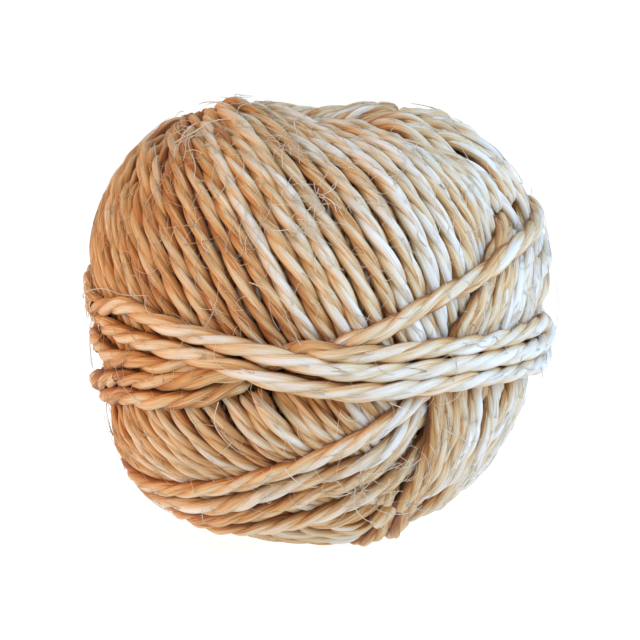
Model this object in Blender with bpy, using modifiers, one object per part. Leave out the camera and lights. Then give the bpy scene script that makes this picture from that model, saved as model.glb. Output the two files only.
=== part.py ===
# A machine wound ball of sisal twine, one solid: the wound form, joined with its main turns,
# which are the waist band and the crossing turns below it and beside it.
import math

import bmesh
import bpy
import numpy as np

# Sizes in millimetres. Right, up and toward the viewer are seen from the front of the ball.
mm = 0.001
twine_width = 3.0
half_depth = 39.6
mean_radius = 40.5
view_distance = 550.0
back_lean = math.radians(6.0)
flat_depth = 1.2
side_dive = 3.6
left_press = 0.9
form_rings = 96
form_segments = 144
turn_pieces = 180
skin_step = 0.42
solid_triangles = 11400

# Outline of the wound form from the front, angle in degrees from the right, anticlockwise.
outline = [
    # angle, radius
    (0, 39.9),
    (12, 40.4),
    (22, 41.9),
    (35, 43.2),
    (50, 43.3),
    (60, 43.4),
    (70, 41.2),
    (80, 38.3),
    (90, 37.0),
    (100, 38.4),
    (110, 42.0),
    (120, 44.2),
    (135, 44.1),
    (150, 43.6),
    (165, 41.7),
    (180, 39.6),
    (192, 40.0),
    (205, 41.6),
    (220, 42.8),
    (235, 42.0),
    (250, 40.5),
    (265, 39.9),
    (280, 40.5),
    (295, 41.0),
    (310, 40.0),
    (325, 38.9),
    (340, 38.7),
    (352, 39.4),
]

# Main turns, by points on the front of each, right and up of the middle. Each goes on round
# the back. Crest is how far the top of the turn stands above the wound form.
low_turns = [
    # crest, points
    (0.7, [
        (-10, -37.5), (-3, -36.5), (4, -34), (9, -31.5), (20, -24.5), (23.5, -20.5),
    ]),
    (0.8, [
        (-20.5, -34.5), (-13.5, -35), (-6.5, -33.5), (0.5, -31), (5.5, -29.5), (14, -25),
        (19.5, -20.5),
    ]),
    (0.9, [
        (-24, -31.5), (-17, -33), (-10, -31.5), (-3, -29.5), (2, -28), (9, -25.5), (16, -21.5),
        (23, -15.5),
    ]),
    (1.0, [
        (-29.5, -27.5), (-22.5, -29.5), (-15.5, -29.5), (-8.5, -28), (-1.5, -26), (4, -23.5),
        (11, -20), (18, -16), (23, -13),
    ]),
]
side_turns = [
    # crest, points
    (0.7, [
        (38.2, 10), (37.8, 4), (37, -3), (35.8, -8.5), (34.3, -13.8), (32.2, -19), (29.3, -25),
        (25.5, -29.8), (21, -33.5), (16, -36),
    ]),
    (0.7, [
        (36.8, 12), (35.5, 5), (34.2, -1), (32.8, -7), (31.3, -12.8), (29.8, -18.5),
        (26.8, -24.5), (22.8, -30), (18, -34), (12, -37.5),
    ]),
    (0.8, [
        (35, 14), (33, 6.3), (31.2, 1), (29.6, -4), (28.3, -12.5), (27.2, -18.3),
        (24.2, -24.4), (20.8, -29.8), (16.5, -33.8), (10.5, -36.8),
    ]),
    (0.9, [
        (33.5, 15.5), (30.6, 6.3), (28.4, 1.6), (26.3, -2.5), (25.8, -7.5), (25.3, -12.5),
        (24.4, -18.3), (21.4, -24.4), (18.4, -29), (14.4, -33.2),
    ]),
]
waist_turns = [
    # crest, points
    (1.2, [
        (-34, -13.5), (-27.5, -14.5), (-20.5, -14), (-15.5, -12.5), (-10, -11.5), (-2, -9),
        (5.5, -4.5), (12, -2), (18, 1.5), (23, 4.5), (28.5, 7.5), (33, 11.5), (36.5, 15),
        (38, 17.5),
    ]),
    (1.2, [
        (-39.6, -5), (-36.5, -7.3), (-33, -7.3), (-27.5, -8.5), (-22.5, -8.5), (-19, -9.5),
        (-13.5, -10.5), (-7, -12), (2, -12.8), (9, -13), (16, -13), (25, -12), (37.5, -8.5),
    ]),
    (1.3, [
        (-35.5, -10.5), (-29.5, -11), (-24, -11), (-19, -10), (-14.5, -9.8), (-8.5, -8),
        (-2.5, -5.5), (3, -6.3), (11, -6.3), (18, -5.8), (23, -5), (28.5, -4.5), (33.5, -3.5),
        (37, -2), (40, -0.7),
    ]),
    (1.5, [
        (-38.5, -1), (-34.5, -3), (-29.5, -4.5), (-20.5, -7), (-13.5, -9), (-7.5, -11),
        (0.5, -12.5), (9, -13), (16, -12.5), (23, -11.5), (30, -10.5), (36.5, -9), (40, -7),
    ]),
    (1.7, [
        (-39.5, 2.5), (-34.5, 2.3), (-29.5, 0), (-24, -2.3), (-17, -4.2), (-12, -5.5), (-3.5, -7.7),
        (5, -9.5), (16, -9.3), (23, -8.6), (28.5, -7.5), (33.5, -6.5), (40, -4.2),
    ]),
]

# A view coordinate is right, up and toward the viewer. A ball coordinate is X right, Y away
# and Z up the winding axis.


def from_view(points):
    return np.stack([points[:, 0], -points[:, 2], points[:, 1]], axis=1)


def unit(vectors):
    return vectors / np.linalg.norm(vectors, axis=-1, keepdims=True)


def on_front(right, up):
    # The point of the ball seen at this place, from view_distance away.
    eye = np.array([0.0, 0.0, view_distance])
    ray = np.array([right, up, -view_distance])
    half_b = eye @ ray
    reach = half_b * half_b - (ray @ ray) * (eye @ eye - mean_radius**2)
    along = (-half_b - math.sqrt(max(reach, 0.0))) / (ray @ ray)
    return unit(eye + along * ray)


def round_the_back(front, count):
    # The rest of the circle that best fits the front points, from the last to the first.
    middle = front.mean(axis=0)
    normal = np.linalg.svd(front - middle)[2][2]
    if normal[1] < 0:
        normal = -normal
    offset = middle @ normal
    centre = offset * normal
    first = unit(front[0] - centre - ((front[0] - centre) @ normal) * normal)
    side = np.cross(normal, first)
    ends = [math.atan2((p - centre) @ side, (p - centre) @ first) for p in (front[0], front[-1])]
    radius = math.sqrt(1.0 - offset * offset)
    angles = np.linspace(ends[1], ends[0] + 2 * math.pi, count + 2)[1:-1]
    circle = np.cos(angles)[:, None] * first + np.sin(angles)[:, None] * side
    return centre + radius * circle


def smooth_loop(points, count):
    # Closed curve through the points, then pulled onto the unit sphere.
    before, after = np.roll(points, 1, axis=0), np.roll(points, -1, axis=0)
    beyond = np.roll(points, -2, axis=0)
    parts = []
    for t in np.linspace(0.0, 1.0, count, endpoint=False):
        a = -0.5 * t + t**2 - 0.5 * t**3
        b = 1.0 - 2.5 * t**2 + 1.5 * t**3
        c = 0.5 * t + 2.0 * t**2 - 1.5 * t**3
        d = -0.5 * t**2 + 0.5 * t**3
        parts.append(a * before + b * points + c * after + d * beyond)
    return unit(np.stack(parts, axis=1).reshape(-1, 3))


def main_turn(front_points):
    front = np.array([on_front(right, up) for right, up in front_points])
    loop = np.concatenate([front, round_the_back(front, 14)])
    return from_view(smooth_loop(loop, 24))


def form_radius(directions):
    # Radius of the wound form: the outline seen from the front, eased to half_depth.
    angles, radii = np.array(outline, float).T
    angles = np.concatenate([angles - 360, angles, angles + 360])
    radii = np.tile(radii, 3)
    right, away, up = directions.T
    seen_at = np.degrees(np.arctan2(up, right))
    soft = np.mean([np.interp(seen_at + s, angles, radii) for s in (-8, -4, 0, 4, 8)], axis=0)
    return 1.0 / np.sqrt((right**2 + up**2) / soft**2 + away**2 / half_depth**2)


def evenly(loop, count):
    # This many points at equal steps along a closed loop.
    closed = np.vstack([loop, loop[:1]])
    places = np.concatenate([[0.0], np.cumsum(np.linalg.norm(np.diff(closed, axis=0), axis=1))])
    wanted = np.arange(count) * places[-1] / count
    return unit(np.stack([np.interp(wanted, places, closed[:, axis]) for axis in range(3)], axis=1))


def lean_back(points):
    right, away, up = points.T
    turned_away = away * math.cos(back_lean) + up * math.sin(back_lean)
    turned_up = up * math.cos(back_lean) - away * math.sin(back_lean)
    return np.stack([right, turned_away, turned_up], axis=1)


def clear_scene():
    for obj in list(bpy.data.objects):
        bpy.data.objects.remove(obj, do_unlink=True)


def twine_material():
    material = bpy.data.materials.new("sisal twine")
    material.use_nodes = True
    shader = material.node_tree.nodes["Principled BSDF"]
    shader.inputs["Base Color"].default_value = (0.62, 0.45, 0.27, 1.0)
    shader.inputs["Roughness"].default_value = 0.75
    return material


def coordinates(mesh):
    places = np.empty(len(mesh.vertices) * 3)
    mesh.vertices.foreach_get("co", places)
    return places.reshape(-1, 3)


def wound_form():
    built = bmesh.new()
    bmesh.ops.create_uvsphere(built, u_segments=form_segments, v_segments=form_rings, radius=1.0)
    bmesh.ops.triangulate(built, faces=built.faces)
    mesh = bpy.data.meshes.new("wound_form")
    built.to_mesh(mesh)
    built.free()
    directions = unit(coordinates(mesh))
    points = lean_back(directions * form_radius(directions)[:, None])
    mesh.vertices.foreach_set("co", (points * mm).ravel())
    return bpy.data.objects.new("wound_form", mesh)


def eased(amount):
    # Smooth step from 0 to 1.
    share = np.clip(amount, 0.0, 1.0)
    return share * share * (3.0 - 2.0 * share)


def sunk(directions, dive):
    # How far a main turn lies below its crest: a side turn goes in under the turns above it
    # and a little way in at the bottom, and every main turn is pressed flatter at the left edge.
    right, away, up = directions.T * mean_radius
    under = eased((up - 11.0) / 9.0) + 0.25 * eased((-30.0 - up) / 5.0)
    return dive * under + left_press * eased((-29.0 - right) / 8.0)


def turn_of_twine(crest, front_points, dive):
    directions = evenly(main_turn(front_points), turn_pieces)
    middle = form_radius(directions) + crest - sunk(directions, dive) - 0.5 * twine_width
    points = lean_back(directions * middle[:, None]) * mm
    curve = bpy.data.curves.new("turn", "CURVE")
    curve.dimensions = "3D"
    curve.bevel_depth = 0.5 * twine_width * mm
    curve.bevel_resolution = 4
    spline = curve.splines.new("POLY")
    spline.points.add(len(points) - 1)
    for place, point in zip(spline.points, points):
        place.co = (*point, 1.0)
    spline.use_cyclic_u = True
    return bpy.data.objects.new("turn", curve)


def evaluated(obj):
    graph = bpy.context.evaluated_depsgraph_get()
    return bpy.data.meshes.new_from_object(obj.evaluated_get(graph))


def joined_shapes(shapes):
    # One mesh holding every shape, still as separate shells.
    built = bmesh.new()
    for shape in shapes:
        built.from_mesh(evaluated(shape))
        bpy.data.objects.remove(shape, do_unlink=True)
    mesh = bpy.data.meshes.new("shapes")
    built.to_mesh(mesh)
    built.free()
    return bpy.data.objects.new("shapes", mesh)


def outer_skin(mesh):
    # Fills any pocket shut in under crossing turns, by keeping only the outer shell.
    built = bmesh.new()
    built.from_mesh(mesh)
    left = set(built.verts)
    shells = []
    while left:
        shell, edge = set(), [left.pop()]
        while edge:
            vert = edge.pop()
            shell.add(vert)
            beside = {link.other_vert(vert) for link in vert.link_edges} & left
            left -= beside
            edge.extend(beside)
        shells.append(shell)
    shells.sort(key=len)
    for shell in shells[:-1]:
        bmesh.ops.delete(built, geom=list(shell), context="VERTS")
    built.to_mesh(mesh)
    built.free()


def flatten(mesh):
    # The small flat spot that the ball rests on.
    points = coordinates(mesh)
    floor = points[:, 2].min() + flat_depth * mm
    points[:, 2] = np.maximum(points[:, 2], floor)
    mesh.vertices.foreach_set("co", points.ravel())


def settle(mesh):
    # Evens out the flat spot, stands it on the origin and centres the ball over it.
    points = coordinates(mesh)
    floor = points[:, 2].min()
    points[points[:, 2] < floor + 0.08 * mm, 2] = floor
    low, high = points.min(axis=0), points.max(axis=0)
    points -= [(low[0] + high[0]) / 2, (low[1] + high[1]) / 2, floor]
    mesh.vertices.foreach_set("co", points.ravel())


def build():
    clear_scene()
    collection = bpy.data.collections.new("ball of twine")
    bpy.context.scene.collection.children.link(collection)
    shapes = [wound_form()]
    for turns, dive in ((low_turns, 0.0), (side_turns, side_dive), (waist_turns, 0.0)):
        shapes += [turn_of_twine(crest, points, dive) for crest, points in turns]
    for shape in shapes:
        collection.objects.link(shape)
    bpy.context.view_layer.update()
    whole = joined_shapes(shapes)
    collection.objects.link(whole)
    skin = whole.modifiers.new("skin", "REMESH")
    skin.mode = "VOXEL"
    skin.voxel_size = skin_step * mm
    skin.use_smooth_shade = True
    fine_mesh = evaluated(whole)
    outer_skin(fine_mesh)
    flatten(fine_mesh)
    bpy.data.objects.remove(whole, do_unlink=True)
    fine = bpy.data.objects.new("fine", fine_mesh)
    collection.objects.link(fine)
    soft = fine.modifiers.new("soft creases", "SMOOTH")
    soft.factor = 0.5
    soft.iterations = 2
    fewer = fine.modifiers.new("fewer faces", "DECIMATE")
    fewer.ratio = solid_triangles / (2 * len(fine_mesh.polygons))
    fewer.use_collapse_triangulate = True
    mesh = evaluated(fine)
    bpy.data.objects.remove(fine, do_unlink=True)
    settle(mesh)
    mesh.name = "twine_ball"
    mesh.materials.clear()
    mesh.materials.append(twine_material())
    ball = bpy.data.objects.new("twine_ball", mesh)
    collection.objects.link(ball)
    mesh.polygons.foreach_set("use_smooth", [True] * len(mesh.polygons))
    mesh.set_sharp_from_angle(angle=math.radians(50))


build()
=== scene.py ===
import math
import random
import bpy
import bmesh
import numpy as np
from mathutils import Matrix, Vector
from mathutils.kdtree import KDTree


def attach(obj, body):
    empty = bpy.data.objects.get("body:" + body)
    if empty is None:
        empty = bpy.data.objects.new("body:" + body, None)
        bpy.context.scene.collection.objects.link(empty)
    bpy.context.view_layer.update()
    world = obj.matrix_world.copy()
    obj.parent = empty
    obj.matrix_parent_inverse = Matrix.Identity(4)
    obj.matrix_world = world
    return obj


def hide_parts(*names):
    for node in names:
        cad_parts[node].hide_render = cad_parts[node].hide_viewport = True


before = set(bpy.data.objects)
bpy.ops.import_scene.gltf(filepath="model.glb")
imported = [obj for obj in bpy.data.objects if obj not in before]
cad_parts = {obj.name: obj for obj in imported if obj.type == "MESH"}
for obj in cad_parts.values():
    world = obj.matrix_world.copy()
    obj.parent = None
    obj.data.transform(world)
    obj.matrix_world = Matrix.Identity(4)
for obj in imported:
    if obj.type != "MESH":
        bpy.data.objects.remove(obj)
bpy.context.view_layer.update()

mm = 0.001
dice = random.Random(27)
noise = np.random.default_rng(27)

# Sizes in millimetres. View coordinates are right, up and toward the viewer.
ball = {
    "middle": np.array([-0.04, 0.152, 38.949]),
    "meanRadius": 40.5,
    "halfDepth": 39.6,
    "insideDepth": 5.5,
    "backLean": math.radians(6.0),
    "viewDistance": 550.0,
    "viewWidth": 112.4,
    "viewShift": (0.35, -0.18),
    "sideDive": 3.6,
    "leftPress": 0.9,
}
twine = {
    "width": 3.0,
    "pitch": 2.95,
    "plies": 3,
    "plyRadius": 0.88,
    "plyOffset": 0.58,
    "plyRise": 0.95,
    "plySpread": 1.05,
    "twistLength": 20.0,
    "girths": {"waist": 1.17, "low": 1.08},
    "solveStep": 0.9,
    "step": 0.8,
    "hiddenStep": 1.3,
    "hiddenHeight": -2.9,
    "besideRoom": 1.7,
    "acrossRoom": 2.6,
    "overRoom": 2.45,
    "rise": 0.5,
    "rideSlope": 0.3,
    "dipSlope": 0.34,
    "coreSlope": 0.9,
}
# Tone shifts: one more golden turn, random spreads of turns and plies, painted light paler to
# the right per mm, and painted shade down between the strands.
tonesAndPaintedLight = {"golden": -0.15, "turns": 0.045, "plies": 0.05, "paintedLightPerMm": 0.003, "paintedShadeInCreases": 0.3}
fibres = {
    "loose": 2300,
    "inTangle": 13,
    "shortest": 1.6,
    "longest": 12.0,
    "lowest": -2.3,
    "frontLift": 0.14,
    "otherLift": 0.05,
}
studio = {"world": 0.3, "paper": "909090", "paperGlow": 0.93}

outline = [
    (0, 39.9), (12, 40.4), (22, 41.9), (35, 43.2), (50, 43.3), (60, 43.4), (70, 41.2),
    (80, 38.3), (90, 37.0), (100, 38.4), (110, 42.0), (120, 44.2), (135, 44.1), (150, 43.6),
    (165, 41.7), (180, 39.6), (192, 40.0), (205, 41.6), (220, 42.8), (235, 42.0), (250, 40.5),
    (265, 39.9), (280, 40.5), (295, 41.0), (310, 40.0), (325, 38.9), (340, 38.7), (352, 39.4),
]

# Planes of the field turns: the lean in degrees, as the winding moves round the ball.
fieldFirst, fieldLast = -248.0, 100.0
fieldLean = [
    (-250, 24), (-110, 22), (-78, 20), (-58, 16), (-42, 15), (-28, 20), (-14, 26),
    (2, 29), (25, 31), (40, 30), (55, 26), (70, 25), (100, 26),
]

# Main turns, oldest first: crest above the form, then points of the front, right and up.
lowTurns = [
    (0.7, [
        (-10, -37.5), (-3, -36.5), (4, -34), (9, -31.5), (20, -24.5), (23.5, -20.5),
    ]),
    (0.8, [
        (-20.5, -34.5), (-13.5, -35), (-6.5, -33.5), (0.5, -31), (5.5, -29.5),
        (14, -25), (19.5, -20.5),
    ]),
    (0.9, [
        (-24, -31.5), (-17, -33), (-10, -31.5), (-3, -29.5), (2, -28), (9, -25.5),
        (16, -21.5), (23, -15.5),
    ]),
    (1.0, [
        (-29.5, -27.5), (-22.5, -29.5), (-15.5, -29.5), (-8.5, -28), (-1.5, -26),
        (4, -23.5), (11, -20), (18, -16), (23, -13),
    ]),
]
sideTurns = [
    (0.7, [
        (38.2, 10), (37.8, 4), (37, -3), (35.8, -8.5), (34.3, -13.8), (32.2, -19), (29.3, -25),
        (25.5, -29.8), (21, -33.5), (16, -36),
    ]),
    (0.7, [
        (36.8, 12), (35.5, 5), (34.2, -1), (32.8, -7), (31.3, -12.8), (29.8, -18.5),
        (26.8, -24.5), (22.8, -30), (18, -34), (12, -37.5),
    ]),
    (0.8, [
        (35, 14), (33, 6.3), (31.2, 1), (29.6, -4), (28.3, -12.5), (27.2, -18.3),
        (24.2, -24.4), (20.8, -29.8), (16.5, -33.8), (10.5, -36.8),
    ]),
    (0.9, [
        (33.5, 15.5), (30.6, 6.3), (28.4, 1.6), (26.3, -2.5), (25.8, -7.5), (25.3, -12.5),
        (24.4, -18.3), (21.4, -24.4), (18.4, -29), (14.4, -33.2),
    ]),
]
waistTurns = [
    (1.2, [
        (-34, -13.5), (-27.5, -14.5), (-20.5, -14), (-15.5, -12.5), (-10, -11.5),
        (-2, -9), (5.5, -4.5), (12, -2), (18, 1.5), (23, 4.5), (28.5, 7.5), (33, 11.5),
        (36.5, 15), (38, 17.5),
    ]),
    (1.2, [
        (-39.6, -5), (-36.5, -7.3), (-33, -7.3), (-27.5, -8.5), (-22.5, -8.5),
        (-19, -9.5), (-13.5, -10.5), (-7, -12), (2, -12.8), (9, -13), (16, -13),
        (25, -12), (37.5, -8.5),
    ]),
    (1.3, [
        (-35.5, -10.5), (-29.5, -11), (-24, -11), (-19, -10), (-14.5, -9.8), (-8.5, -8),
        (-2.5, -5.5), (3, -6.3), (11, -6.3), (18, -5.8), (23, -5), (28.5, -4.5),
        (33.5, -3.5), (37, -2), (40, -0.7),
    ]),
    (1.5, [
        (-38.5, -1), (-34.5, -3), (-29.5, -4.5), (-20.5, -7), (-13.5, -9), (-7.5, -11),
        (0.5, -12.5), (9, -13), (16, -12.5), (23, -11.5), (30, -10.5), (36.5, -9),
        (40, -7),
    ]),
    (1.7, [
        (-39.5, 2.5), (-34.5, 2.3), (-29.5, 0), (-24, -2.3), (-17, -4.2), (-12, -5.5),
        (-3.5, -7.7), (5, -9.5), (16, -9.3), (23, -8.6), (28.5, -7.5), (33.5, -6.5),
        (40, -4.2),
    ]),
]


def unit(vectors):
    return vectors / np.linalg.norm(vectors, axis=-1, keepdims=True)


def fromView(points):
    return np.stack([points[..., 0], -points[..., 2], points[..., 1]], axis=-1)


def onFront(right, up):
    eye = np.array([0.0, 0.0, ball["viewDistance"]])
    ray = np.array([right, up, -ball["viewDistance"]])
    halfB = eye @ ray
    reach = halfB * halfB - (ray @ ray) * (eye @ eye - ball["meanRadius"] ** 2)
    return unit(eye + (-halfB - math.sqrt(max(reach, 0.0))) / (ray @ ray) * ray)


def roundTheBack(front, count):
    middle = front.mean(axis=0)
    normal = np.linalg.svd(front - middle)[2][2]
    normal = -normal if normal[1] < 0 else normal
    offset = middle @ normal
    centre = offset * normal
    first = unit(front[0] - centre - ((front[0] - centre) @ normal) * normal)
    side = np.cross(normal, first)
    ends = [math.atan2((p - centre) @ side, (p - centre) @ first) for p in (front[0], front[-1])]
    angles = np.linspace(ends[1], ends[0] + 2 * math.pi, count + 2)[1:-1]
    circle = np.cos(angles)[:, None] * first + np.sin(angles)[:, None] * side
    return centre + math.sqrt(1.0 - offset * offset) * circle


def smoothLoop(points, count):
    before, after = np.roll(points, 1, axis=0), np.roll(points, -1, axis=0)
    beyond = np.roll(points, -2, axis=0)
    parts = []
    for t in np.linspace(0.0, 1.0, count, endpoint=False):
        a = -0.5 * t + t**2 - 0.5 * t**3
        b = 1.0 - 2.5 * t**2 + 1.5 * t**3
        c = 0.5 * t + 2.0 * t**2 - 1.5 * t**3
        d = -0.5 * t**2 + 0.5 * t**3
        parts.append(a * before + b * points + c * after + d * beyond)
    return unit(np.stack(parts, axis=1).reshape(-1, 3))


def mainTurn(frontPoints):
    front = np.array([onFront(right, up) for right, up in frontPoints])
    return fromView(smoothLoop(np.concatenate([front, roundTheBack(front, 14)]), 24))


def planeTurn(turn, lean, sway):
    # A turn in a plane through the middle, with a slow sway of the hand or machine, in mm.
    flat = math.cos(lean)
    normal = np.array([flat * math.cos(turn), math.sin(lean), flat * math.sin(turn)])
    first = unit(np.cross(normal, [0.0, 1.0, 0.0]))
    side = np.cross(normal, first)
    angles = np.linspace(0.0, 2 * math.pi, 720, endpoint=False)
    drift = sum(amount * np.sin(k * angles + phase) for k, amount, phase in sway)
    circle = np.cos(angles)[:, None] * first + np.sin(angles)[:, None] * side
    return fromView(unit(circle + drift[:, None] / ball["meanRadius"] * normal))


def evenly(loop, step):
    closed = np.vstack([loop, loop[:1]])
    steps = np.linalg.norm(np.diff(closed, axis=0), axis=1)
    places = np.concatenate([[0.0], np.cumsum(steps)])
    count = int(round(places[-1] * ball["meanRadius"] / step))
    wanted = np.arange(count) * places[-1] / count
    return unit(np.stack([np.interp(wanted, places, values) for values in closed.T], axis=1))


def formRadius(directions):
    angles, radii = np.array(outline, float).T
    angles = np.concatenate([angles - 360, angles, angles + 360])
    radii = np.tile(radii, 3)
    right, away, up = directions[..., 0], directions[..., 1], directions[..., 2]
    seenAt = np.degrees(np.arctan2(up, right))
    soft = np.mean([np.interp(seenAt + s, angles, radii) for s in (-8, -4, 0, 4, 8)], axis=0)
    return 1.0 / np.sqrt((right**2 + up**2) / soft**2 + away**2 / ball["halfDepth"] ** 2)


def toWorld(points):
    # Leans the ball back, sets it over its flat spot and turns millimetres to metres.
    level, tilt = math.cos(ball["backLean"]), math.sin(ball["backLean"])
    right, away, up = points[..., 0], points[..., 1], points[..., 2]
    turned = np.stack([right, away * level + up * tilt, up * level - away * tilt], axis=-1)
    return (turned + ball["middle"]) * mm


def anyAngle():
    return dice.uniform(0, 6.28)


def swayOf(waves):
    return [(k, dice.uniform(0, most), anyAngle()) for k, most in waves]


def woundTurns():
    # Every turn in the order it is laid: group, crest and loop.
    turns = []
    step = math.degrees(twine["pitch"] / ball["meanRadius"])
    for angle, widest in ((152.0, 34.0), (64.0, 36.0)):
        for leaning in np.arange(-widest, widest, step):
            sway = swayOf([(2, 0.3), (5, 0.2)])
            turned = math.radians(angle + 0.2 * leaning + dice.uniform(-2, 2))
            loop = planeTurn(turned, math.radians(leaning), sway)
            turns.append(("core", dice.uniform(-0.4, 0.0), loop))
    rounds, leans = np.array(fieldLean, float).T
    angle = fieldFirst
    while angle <= fieldLast:
        lean = math.radians(np.interp(angle, rounds, leans))
        loop = planeTurn(math.radians(angle), lean, swayOf([(2, 0.25), (5, 0.16), (9, 0.1)]))
        turns.append(("field", dice.uniform(0.0, 0.35), loop))
        angle += step / math.cos(lean) * dice.uniform(0.93, 1.07)
    for group, table in (("low", lowTurns), ("side", sideTurns), ("waist", waistTurns)):
        for crest, points in table:
            turns.append((group, crest, mainTurn(points)))
    return turns


def bell(reach):
    return np.exp(-0.5 * (np.arange(-3 * reach, 3 * reach + 1) / reach) ** 2)


def blurred(values, kernel):
    # Runs a kernel round a closed turn.
    reach = len(kernel) // 2
    wrapped = np.concatenate([values[-reach:], values, values[:reach]])
    return np.convolve(wrapped, kernel, mode="valid")


def softened(values, reach):
    return blurred(values, bell(reach) / bell(reach).sum())


def dropsBetween(tree, direction, ahead, aheads):
    # Turns laid near this place, and how far apart in height each has to be.
    near = tree.find_range(direction, twine["acrossRoom"] / ball["meanRadius"])
    others = [found[1] for found in near]
    gaps = np.array([found[2] for found in near]) * ball["meanRadius"]
    ways = np.array([aheads[k] for k in others]).reshape(-1, 3)
    crossing = np.sqrt(1.0 - np.clip(ways @ ahead, -1, 1) ** 2)
    wider = twine["acrossRoom"] - twine["besideRoom"]
    room = twine["besideRoom"] + wider * np.clip(crossing / 0.45, 0, 1)
    drops = twine["overRoom"] * np.sqrt(np.clip(1.0 - (gaps / room) ** 2, 0, 1))
    return [(k, drop) for k, drop, gap, most in zip(others, drops, gaps, room) if gap < most]


def treeOf(directions):
    tree = KDTree(len(directions))
    for index, direction in enumerate(directions):
        tree.insert(direction, index)
    tree.balance()
    return tree


def eased(amount):
    share = np.clip(amount, 0.0, 1.0)
    return share * share * (3.0 - 2.0 * share)


def sunk(directions, dive):
    # A side turn goes in under the turns above it, from 11 to 20 mm up, and a little way in at
    # the bottom. Every main turn is pressed flatter at the left edge.
    right, away, up = directions.T * ball["meanRadius"]
    under = eased((up - 11.0) / 9.0) + 0.25 * eased((-30.0 - up) / 5.0)
    return dive * under + ball["leftPress"] * eased((-29.0 - right) / 8.0)


def spread(heights, slope, pick):
    # Carries each rise, or each dip, on to its neighbours, so that no turn bends too fast.
    for shift in range(1, 12):
        beside = pick(np.roll(heights, shift), np.roll(heights, -shift))
        heights = pick(heights, beside + slope * shift)
    return heights


def rideUp(turns, step):
    # The main turns climb over the older main turns that they cross.
    laid = []
    underDirections, underAheads, underHeights = [], [], []
    for group, crest, loop in turns:
        directions = evenly(loop, step)
        heights = np.full(len(directions), crest - 0.5 * twine["width"])
        if group in ("low", "side", "waist"):
            aheads = unit(np.roll(directions, -1, axis=0) - np.roll(directions, 1, axis=0))
            most = heights[0] + twine["rise"]
            if underDirections:
                tree = treeOf(underDirections)
                for index, direction in enumerate(directions):
                    for other, drop in dropsBetween(tree, direction, aheads[index], underAheads):
                        higher = min(most, underHeights[other] + drop)
                        heights[index] = max(heights[index], higher)
            heights = softened(spread(heights, -twine["rideSlope"] * step, np.maximum), 3)
            heights -= sunk(directions, ball["sideDive"] if group == "side" else 0.0)
            underDirections += list(directions)
            underAheads += list(aheads)
            underHeights += list(heights)
        laid.append((group, directions, heights))
    return laid


def settle(turns, step):
    # Newest turn first, each older turn dips under the turns that lie on top there. What is
    # under two layers isn't shown.
    settled = []
    overDirections, overAheads, overHeights = [], [], []
    for group, directions, heights in reversed(rideUp(turns, step)):
        aheads = unit(np.roll(directions, -1, axis=0) - np.roll(directions, 1, axis=0))
        covered = np.zeros(len(directions), bool)
        if overDirections:
            tree = treeOf(overDirections)
            for index, direction in enumerate(directions):
                for other, drop in dropsBetween(tree, direction, aheads[index], overAheads):
                    if overHeights[other] > twine["hiddenHeight"]:
                        heights[index] = min(heights[index], overHeights[other] - drop)
                    elif drop > 0.85 * twine["overRoom"]:
                        covered[index] = True
        slope = twine["coreSlope"] if group == "core" else twine["dipSlope"]
        heights = softened(spread(heights, slope * step, np.minimum), 2)
        shown = ~covered | (heights > twine["hiddenHeight"])
        settled.append((group, directions, heights, shown))
        overDirections += list(directions[shown])
        overAheads += list(aheads[shown])
        overHeights += list(heights[shown])
    return settled[::-1]


def runsOf(shown):
    # Start and length of each stretch of a closed turn that is kept.
    count = len(shown)
    if shown.all():
        return [(0, count + 1)]
    runs = []
    start = None
    first = int(np.argmin(shown))
    for k in range(first, first + count + 1):
        if shown[k % count] and k < first + count:
            start = k if start is None else start
        elif start is not None:
            if k - start > 4:
                runs.append((start, k - start))
            start = None
    return runs


def wanderRound(count, reach, amount):
    # Slow random variation along a strand, closing on itself round a whole turn.
    kernel = bell(reach)
    return amount * blurred(noise.normal(0.0, 1.0, count), kernel / np.sqrt((kernel**2).sum()))


def twistOf(count, girth):
    # The lay of one turn: angle, thickness, and how the plies differ.
    start = anyAngle()
    return {
        "angle": start + wanderRound(count, 16, 0.3),
        "girth": girth + wanderRound(count, 14, 0.035),
        "own": [1.0 + wanderRound(count, 7, 0.055) for ply in range(twine["plies"])],
        "apart": [1.0 + wanderRound(count, 9, 0.05) for ply in range(twine["plies"])],
    }


def pliesOf(directions, heights, start, length, sample, lay):
    # The plies of one stretch of twine, as paths and radii in millimetres.
    count = len(directions)
    order = np.arange(start, start + length)
    index = order % count
    centre = directions[index] * (formRadius(directions[index]) + heights[index])[:, None]
    steps = np.linalg.norm(np.diff(centre, axis=0), axis=1)
    places = np.concatenate([[0.0], np.cumsum(steps)])
    wanted = np.linspace(0.0, places[-1], max(3, int(places[-1] / sample)))

    def along(values):
        return np.interp(wanted, places, values)

    unwound = index + count * (order >= count)
    turned = -2 * math.pi * unwound * twine["solveStep"] / twine["twistLength"]
    angle = along(turned + lay["angle"][index])
    girth = along(lay["girth"][index])
    centre = np.stack([along(centre[:, axis]) for axis in range(3)], axis=1)
    ahead = unit(np.gradient(centre, axis=0))
    sideways = unit(np.cross(ahead, unit(centre)))
    outward = np.cross(sideways, ahead)
    # A stretch that ends closes to a point at both ends.
    ends = np.ones(len(wanted))
    if length <= count:
        ends[[1, -2]] = 0.7
        ends[[0, -1]] = 0.05
    plies = []
    for ply in range(twine["plies"]):
        around = angle + 2 * math.pi * ply / twine["plies"]
        offset = twine["plyOffset"] * girth * along(lay["apart"][ply][index])
        rise = twine["plyRise"] * offset * np.cos(around)
        aside = twine["plySpread"] * offset * np.sin(around)
        path = centre + rise[:, None] * outward + aside[:, None] * sideways
        radii = twine["plyRadius"] * girth * along(lay["own"][ply][index]) * ends
        plies.append((path, radii, np.linalg.norm(centre, axis=1)))
    return plies


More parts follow.
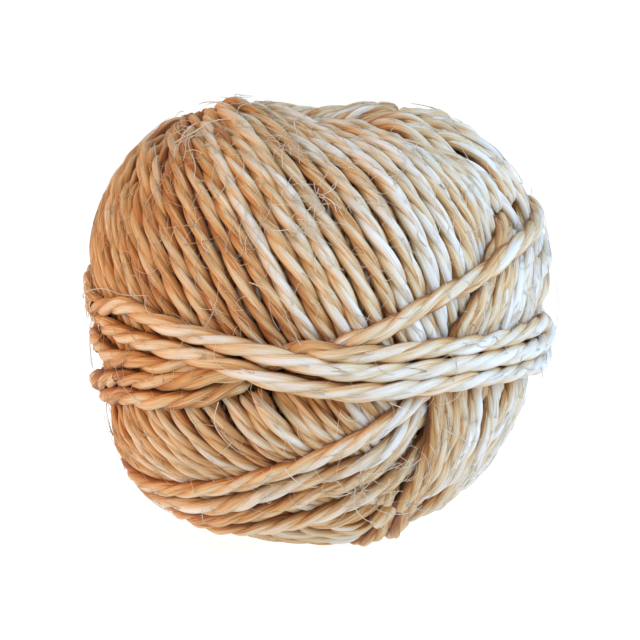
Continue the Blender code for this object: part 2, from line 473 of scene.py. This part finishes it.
def curveMesh(name, strands, sides):
    # Tubes along the given paths, with a map in millimetres and a tone at each point: the
    # strand's own tone, with painted light and painted shade from its place across the ball and
    # how high it stands over the middle of its twine.
    curve = bpy.data.curves.new(name, "CURVE")
    curve.dimensions = "3D"
    curve.bevel_depth = mm
    curve.bevel_resolution = (sides - 4) // 2
    for path, radii, middles, tone in strands:
        spline = curve.splines.new("POLY")
        spline.points.add(len(path) - 1)
        world = toWorld(path)
        world[:, 2] = np.maximum(world[:, 2], np.asarray(radii) * mm)
        spline.points.foreach_set("co", np.column_stack([world, np.ones(len(world))]).ravel())
        spline.points.foreach_set("radius", np.asarray(radii, float))
    drawn = bpy.data.objects.new(name, curve)
    graph = bpy.context.evaluated_depsgraph_get()
    mesh = bpy.data.meshes.new_from_object(drawn.evaluated_get(graph))
    bpy.data.objects.remove(drawn, do_unlink=True)
    mesh.name = name
    counts = np.array([len(strand[0]) for strand in strands])
    ring = len(mesh.vertices) // counts.sum()
    strandOf = np.repeat(np.arange(len(strands)), counts * ring)
    lengths = np.array([
        np.linalg.norm(np.diff(strand[0], axis=0), axis=1).sum() for strand in strands
    ])
    starts = np.array([dice.uniform(0, 900) for strand in strands])
    corners = np.empty(len(mesh.loops), np.int32)
    mesh.loops.foreach_get("vertex_index", corners)
    layer = mesh.uv_layers[0]
    places = np.empty(len(mesh.loops) * 2)
    layer.data.foreach_get("uv", places)
    places = places.reshape(-1, 2)
    places[:, 0] = places[:, 0] * lengths[strandOf[corners]] + starts[strandOf[corners]]
    layer.data.foreach_set("uv", places.ravel())
    spots = np.empty(len(mesh.vertices) * 3)
    mesh.vertices.foreach_get("co", spots)
    spots = spots.reshape(-1, 3) / mm - ball["middle"]
    centres = np.repeat(np.concatenate([strand[2] for strand in strands]), ring)
    over = (np.linalg.norm(spots, axis=1) - centres) / (0.5 * twine["width"])
    # Painted light, paler to the right across the ball, and painted shade, darker down between
    # the strands and a little paler on their crests.
    toneWithPaintedLight = np.array([strand[3] for strand in strands])[strandOf] + tonesAndPaintedLight["paintedLightPerMm"] * spots[:, 0]
    toneWithPaintedLight += tonesAndPaintedLight["paintedShadeInCreases"] * (np.clip(over, -0.4, 1.05) - 0.85)
    mesh.attributes.new("tone", "FLOAT", "POINT").data.foreach_set("value", toneWithPaintedLight)
    mesh.polygons.foreach_set("use_smooth", [True] * len(mesh.polygons))
    piece = bpy.data.objects.new(name, mesh)
    bpy.context.scene.collection.objects.link(piece)
    return piece


def linear(code):
    values = [int(code[i:i + 2], 16) / 255 for i in (0, 2, 4)]
    return [v / 12.92 if v <= 0.04045 else ((v + 0.055) / 1.055) ** 2.4 for v in values] + [1.0]


def addNode(material, kind, settings):
    # Adds one node. A setting is an input, by its name or number, a property, or the stops of a
    # ramp, and an output given for an input is linked to it.
    node = material.node_tree.nodes.new(kind)
    for key, value in settings.items():
        if key == "stops":
            elements = node.color_ramp.elements
            elements.remove(elements[-1])
            for place, code in value:
                element = elements[0] if place == value[0][0] else elements.new(place)
                element.position = place
                element.color = linear(code)
        elif isinstance(value, bpy.types.NodeSocket):
            material.node_tree.links.new(value, node.inputs[key])
        elif isinstance(key, int) or key in node.inputs:
            node.inputs[key].default_value = value
        else:
            setattr(node, key, value)
    return node


def sisal(name, shades, grain):
    # Long pale and brown fibres along the ply, over slower changes of tone, with a bump from
    # the same fibres. Grain is how strongly the fibres show in the colour.
    material = bpy.data.materials.new(name)
    material.use_nodes = True
    shader = material.node_tree.nodes["Principled BSDF"]
    place = addNode(material, "ShaderNodeUVMap", {"uv_map": "UVMap"}).outputs["UV"]
    # The tone read here holds the strand's own tone, painted light paler to the right and
    # painted shade between the strands.
    tone = addNode(material, "ShaderNodeAttribute", {"attribute_name": "tone"}).outputs["Fac"]
    streaks = []
    mixed = 0.5 - 0.775 * grain
    # Scale along and around the ply, detail and share: fine fibres, coarse ones and patches.
    for along, around, detail, share in (
        (0.14, 30.0, 3.0, 0.5), (0.09, 9.0, 2.0, 0.6), (0.05, 1.6, 1.0, 0.45),
    ):
        scaled = addNode(material, "ShaderNodeMapping", {
            "Vector": place, "Scale": (along, around, 1.0),
        })
        streaks.append(addNode(material, "ShaderNodeTexNoise", {
            "Vector": scaled.outputs["Vector"], "Scale": 1.0, "Detail": detail,
            "Roughness": 0.65,
        }).outputs["Fac"])
        mixed = addNode(material, "ShaderNodeMath", {
            "operation": "MULTIPLY_ADD", 0: streaks[-1], 1: share * grain, 2: mixed,
        }).outputs["Value"]
    mixed = addNode(material, "ShaderNodeMath", {
        "operation": "MULTIPLY_ADD", 0: tone, 1: 1.0, 2: mixed,
    }).outputs["Value"]
    colour = addNode(material, "ShaderNodeValToRGB", {"Fac": mixed, "stops": shades})
    height = addNode(material, "ShaderNodeMath", {
        "operation": "MULTIPLY_ADD", 0: streaks[1], 1: 0.6, 2: streaks[0],
    }).outputs["Value"]
    bump = addNode(material, "ShaderNodeBump", {
        "Strength": 0.85, "Distance": 0.0003, "Height": height,
    })
    material.node_tree.links.new(colour.outputs["Color"], shader.inputs["Base Color"])
    material.node_tree.links.new(bump.outputs["Normal"], shader.inputs["Normal"])
    shader.inputs["Roughness"].default_value = 0.5
    shader.inputs["Specular IOR Level"].default_value = 0.4
    shader.inputs["Sheen Weight"].default_value = 0.15
    shader.inputs["Sheen Roughness"].default_value = 0.4
    return material


# Colours of the twine from dark to pale; the darkest, browner stops are mostly reached through
# the painted shade between the strands.
twineShades = [
    (0.06, "6e3c14"), (0.22, "a86a30"), (0.36, "cba066"), (0.48, "d8c29b"), (0.62, "dcd6c8"),
    (0.84, "eaeae6"),
]
fibreShades = [(0.2, "b8935c"), (0.45, "dcc79f"), (0.8, "f4ecd8")]
twineMaterial = sisal("sisal twine", twineShades, 1.0)
fibreMaterial = sisal("loose sisal fibre", fibreShades, 0.3)

print("winding")
turns = woundTurns()
settled = settle(turns, twine["solveStep"])

print("twine")
strands = {"core": [], "field": [], "low": [], "side": [], "waist": [], "under": []}
# The last side turn is more golden than the rest.
goldenTurn = len(settled) - len(waistTurns) - 1
for place, (group, directions, heights, shown) in enumerate(settled):
    lay = twistOf(len(directions), twine["girths"].get(group, dice.gauss(1.0, 0.025)))
    turnTone = tonesAndPaintedLight["golden"] if place == goldenTurn else dice.gauss(0.0, tonesAndPaintedLight["turns"])
    plyTones = [turnTone + dice.gauss(0.0, tonesAndPaintedLight["plies"]) for ply in range(twine["plies"])]
    top = shown & (heights > twine["hiddenHeight"])
    near = top.copy()
    for shift in range(-6, 7):
        near |= np.roll(top, shift)
    near &= shown
    for kept, name in ((near, group), (shown & ~top, "under")):
        for start, length in runsOf(kept):
            sample = twine["step"] if name != "under" else twine["hiddenStep"]
            plies = pliesOf(directions, heights, start, length, sample, lay)
            for tone, ply in zip(plyTones, plies):
                strands[name].append((*ply, tone))


def addPiece(name, group, sides, material):
    piece = curveMesh(name, group, sides)
    piece.data.materials.clear()
    piece.data.materials.append(material)
    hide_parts("twine_ball")
    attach(piece, "root")
    print(name, len(group), "strands", len(piece.data.polygons) * 2, "triangles")
    return piece


# The turns beneath and the loose fibres are too fine or too deep to show how round they are, so
# they have fewer sides.
field = strands["field"]
third = len(field) // 3
for name, group, sides in (
    ("fieldTurnsEarly", field[:third], 8), ("fieldTurnsMiddle", field[third:2 * third], 8),
    ("fieldTurnsLate", field[2 * third:], 8), ("lowTurns", strands["low"], 8),
    ("sideTurns", strands["side"], 8), ("waistTurns", strands["waist"], 8),
    ("turnsBeneath", strands["under"] + strands["core"], 6),
):
    addPiece(name, group, sides, twineMaterial)

print("fibres")


def hair(place, height, heading, length, lift, curl):
    # A loose fibre that leaves the twine, lifts and bends over the ball.
    side = np.cross(place, heading)
    t = np.linspace(0.0, 1.0, max(5, int(length / 1.3)))
    bend = curl * t**2
    ahead = length * t * np.cos(0.5 * bend) / ball["meanRadius"]
    aside = length * t * np.sin(0.5 * bend) / ball["meanRadius"]
    ways = unit(place + ahead[:, None] * heading + aside[:, None] * side)
    rise = height + lift * np.sin(math.pi * np.minimum(1.0, 0.15 + 0.75 * t) ** 0.8)
    return ways * (formRadius(ways) + rise)[:, None]


def beneath(path):
    return np.linalg.norm(path, axis=1) - 0.42 * twine["width"]


def looseHairs(count):
    hairs = []
    tops = [turn for turn in settled if turn[0] != "core" or dice.random() < 0.5]
    while len(hairs) < count:
        group, directions, heights, shown = dice.choice(tops)
        index = dice.randrange(len(directions))
        place = directions[index]
        if not shown[index] or heights[index] < fibres["lowest"] or place[2] < -0.8:
            continue
        ahead = unit(directions[(index + 1) % len(directions)] - directions[index - 1])
        turned = dice.gauss(0.0, 0.45) if dice.random() < 0.75 else dice.uniform(-1.6, 1.6)
        heading = math.cos(turned) * ahead + math.sin(turned) * np.cross(place, ahead)
        heading = heading if dice.random() < 0.5 else -heading
        heading = unit(heading - (heading @ place) * place)
        length = max(fibres["shortest"], dice.lognormvariate(1.2, 0.5))
        length = min(fibres["longest"], length)
        most = fibres["frontLift"] if -place[1] > 0.25 else fibres["otherLift"]
        lift = dice.uniform(0.02, most) * length**0.75
        path = hair(place, heights[index] + 1.3, heading, length, lift, dice.gauss(0.0, 0.9))
        radii = dice.uniform(0.035, 0.085) * np.linspace(1.0, 0.55, len(path))
        hairs.append((path, radii, beneath(path), dice.gauss(0.08, 0.12)))
    return hairs


# Long stray fibres that show on the front: points right and up, and how far they stand off.
strays = [
    (0.14, 1.0, [(-23.4, 28.6), (-20, 30.2), (-17.5, 32), (-14.6, 33.4)]),
    (0.1, 0.9, [(-23, 27.6), (-21.4, 30), (-19.6, 32)]),
    (0.1, 0.8, [(-11.6, 37.0), (-13.2, 35.4), (-13.7, 32.6)]),
    (0.1, 1.6, [(-3.2, 36.7), (-4.2, 35), (-3.6, 31.8), (-3.3, 27.8)]),
    (0.08, 1.2, [(-20.7, 27.4), (-20, 24.8), (-20.7, 22.6)]),
    (0.08, 1.3, [(-26.3, 28.3), (-25.8, 25.5), (-26.2, 22.1)]),
    (0.1, 1.8, [(-40.9, 3.7), (-36.5, 5.1), (-33, 4.1), (-29.5, 4.0)]),
    (0.08, 1.5, [(-29.9, 3.8), (-29.3, 1.9), (-28.8, 0.4)]),
    (0.11, 1.5, [(-12, 6.4), (-8, 4.6), (-4.5, 1.6), (-1.4, -1.6)]),
    (0.08, 1.4, [(19.7, 22.6), (19.4, 18.5), (19.7, 14.6)]),
    (0.08, 1.2, [(-19.8, 14.2), (-19.5, 12.4), (-18.6, 11.4)]),
    (0.08, 1.7, [(3.9, -16.5), (5.6, -17.4), (7.4, -17)]),
    (0.09, 1.9, [(12.6, -14.7), (14.6, -15.2), (16.5, -16)]),
    (0.09, 1.9, [(22.3, -19.5), (24.6, -20.4), (26.7, -21.8)]),
    (0.09, 1.7, [(-5.8, -26.2), (-3, -28), (0, -29.2)]),
    (0.1, 2.2, [(6.5, -28.8), (6.2, -31.5), (7.7, -33.2), (10, -34.3), (11.8, -36.3)]),
    (0.09, 1.8, [(10, -32.8), (14, -32.6), (17.9, -32)]),
    (0.08, 1.5, [(-32.5, -13.9), (-32.2, -15.6), (-31.8, -17)]),
    (0.09, 1.6, [(-17.2, -14.4), (-17.4, -17.4), (-15.6, -20.4), (-12.8, -23.5)]),
    (0.08, 1.5, [(-8.8, -29.7), (-8.6, -31), (-8.1, -31.8)]),
    (0.08, 1.6, [(-19.5, -31.4), (-19, -33), (-18.4, -34.6)]),
    (0.09, 1.9, [(2.2, 20.5), (-1.5, 19), (-2.2, 15.2), (-1.8, 12.6)]),
    (0.08, 1.7, [(-3.4, 21.6), (-0.6, 20.6), (-0.9, 16.5)]),
]


def strayHair(thick, lift, points):
    front = fromView(np.array([onFront(right, up) for right, up in points]))
    t = np.linspace(0.0, len(front) - 1.0, 5 * len(front))
    k = np.clip(t.astype(int), 0, len(front) - 2)
    f = (t - k)[:, None]
    before, after = front[np.maximum(k - 1, 0)], front[np.minimum(k + 2, len(front) - 1)]
    a, b = front[k], front[k + 1]
    straight = 2 * a + (b - before) * f
    bend = (2 * before - 5 * a + 4 * b - after) * f**2
    change = (3 * a - before - 3 * b + after) * f**3
    ways = unit(0.5 * (straight + bend + change))
    rise = 0.3 + lift * np.sin(math.pi * (0.08 + 0.8 * t / t[-1]))
    path = ways * (formRadius(ways) + rise)[:, None]
    return path, thick * np.linspace(1.0, 0.6, len(t)), beneath(path), dice.gauss(0.2, 0.08)


# Small tangles of fine fibre on the front: right, up and how far they spread.
tangles = [
    (-2.5, 17.5, 3.2), (7.5, -29.5, 3.0), (0.5, 22.5, 2.4), (13.0, -27.0, 3.0),
    (-21.0, 28.5, 3.0), (-5.5, 30.5, 2.5),
]


def curls(count):
    made = []
    for right, up, spread in tangles:
        for curl in range(count):
            aside, above = dice.gauss(0, 0.5 * spread), dice.gauss(0, 0.5 * spread)
            place = fromView(onFront(right + aside, up + above))
            turned = anyAngle()
            first = unit(np.cross(place, [0.3, 0.2, 1.0]))
            heading = math.cos(turned) * first + math.sin(turned) * np.cross(place, first)
            length, lift = dice.uniform(2.0, 6.5), dice.uniform(0.5, 1.5)
            path = hair(place, 0.2, heading, length, lift, dice.gauss(0.0, 1.3))
            radii = np.full(len(path), dice.uniform(0.04, 0.08))
            made.append((path, radii, beneath(path), dice.gauss(0.15, 0.1)))
    return made


addPiece("looseFibres", looseHairs(fibres["loose"]), 4, fibreMaterial)
longHairs = [strayHair(thick, lift, points) for thick, lift, points in strays]
addPiece("strayFibres", longHairs + curls(fibres["inTangle"]), 6, fibreMaterial)

print("core")
built = bmesh.new()
bmesh.ops.create_icosphere(built, subdivisions=5, radius=1.0)
coreMesh = bpy.data.meshes.new("coreBall")
built.to_mesh(coreMesh)
built.free()
places = np.empty(len(coreMesh.vertices) * 3)
coreMesh.vertices.foreach_get("co", places)
ways = unit(places.reshape(-1, 3))
inside = ways * (formRadius(ways) - ball["insideDepth"])[:, None]
coreMesh.vertices.foreach_set("co", toWorld(inside).ravel())
# Painted shade: dark brown and dull, in place of the shade deep in the gaps between the turns.
coreMaterial = bpy.data.materials.new("shaded sisal inside")
coreMaterial.use_nodes = True
coreShader = coreMaterial.node_tree.nodes["Principled BSDF"]
coreShader.inputs["Roughness"].default_value = 0.9
grainPlace = addNode(coreMaterial, "ShaderNodeTexCoord", {}).outputs["Object"]
grain = addNode(coreMaterial, "ShaderNodeTexNoise", {"Vector": grainPlace, "Scale": 900.0})
paintedShadeColour = addNode(coreMaterial, "ShaderNodeValToRGB", {
    "Fac": grain.outputs["Fac"], "stops": [(0.3, "4a2f17"), (0.7, "6d4a28")],
})
coreMaterial.node_tree.links.new(paintedShadeColour.outputs["Color"], coreShader.inputs["Base Color"])
coreMesh.materials.append(coreMaterial)
coreBall = bpy.data.objects.new("coreBall", coreMesh)
bpy.context.scene.collection.objects.link(coreBall)
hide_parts("twine_ball")
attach(coreBall, "root")

print("studio")
middle = Vector(ball["middle"] * mm)
lean = ball["backLean"]
toward = Vector((0.0, -math.cos(lean), math.sin(lean)))
upward = Vector((0.0, math.sin(lean), math.cos(lean)))
aimRight, aimUp = ball["viewShift"]
aim = middle + Vector((aimRight * mm, 0.0, 0.0)) + upward * (aimUp * mm)
camera = bpy.data.objects.new("camera", bpy.data.cameras.new("camera"))
camera.data.lens = camera.data.sensor_width * ball["viewDistance"] / ball["viewWidth"]
camera.data.clip_start = 0.01
camera.data.clip_end = 300.0
camera.location = aim + toward * (ball["viewDistance"] * mm)
camera.rotation_euler = (-toward).to_track_quat("-Z", "Y").to_euler()
bpy.context.scene.collection.objects.link(camera)
bpy.context.scene.camera = camera


def areaLight(name, place, size, power, code):
    data = bpy.data.lights.new(name, "AREA")
    data.shape = "DISK"
    data.size = size
    data.energy = power
    data.color = linear(code)[:3]
    lamp = bpy.data.objects.new(name, data)
    lamp.location = middle + Vector(place)
    lamp.rotation_euler = (-Vector(place)).to_track_quat("-Z", "Y").to_euler()
    bpy.context.scene.collection.objects.link(lamp)


areaLight("coolWindow", (0.6, -0.34, 0.34), 0.55, 7.1, "b0d2ff")
areaLight("warmLamp", (-0.62, -0.2, 0.12), 0.35, 2.8, "ffaa4e")
areaLight("overhead", (0.0, -0.45, 0.65), 0.5, 1.9, "fafaf6")
bpy.context.scene.view_settings.view_transform = "Standard"

world = bpy.data.worlds.new("pale studio")
bpy.context.scene.world = world
world.use_nodes = True
world.node_tree.nodes["Background"].inputs["Color"].default_value = linear("ffffff")
world.node_tree.nodes["Background"].inputs["Strength"].default_value = studio["world"]

floorMesh = bpy.data.meshes.new("floor")
built = bmesh.new()
bmesh.ops.create_grid(built, x_segments=1, y_segments=1, size=90.0)
built.to_mesh(floorMesh)
built.free()
floor = bpy.data.objects.new("floor", floorMesh)
bpy.context.scene.collection.objects.link(floor)
# White paper that glows, so that the ground stays plain white as in the photo.
floorMaterial = bpy.data.materials.new("white paper")
floorMaterial.use_nodes = True
floorShader = floorMaterial.node_tree.nodes["Principled BSDF"]
floorShader.inputs["Base Color"].default_value = linear(studio["paper"])
floorShader.inputs["Roughness"].default_value = 0.9
floorShader.inputs["Emission Color"].default_value = linear("ffffff")
floorShader.inputs["Emission Strength"].default_value = studio["paperGlow"]
floorMesh.materials.append(floorMaterial)
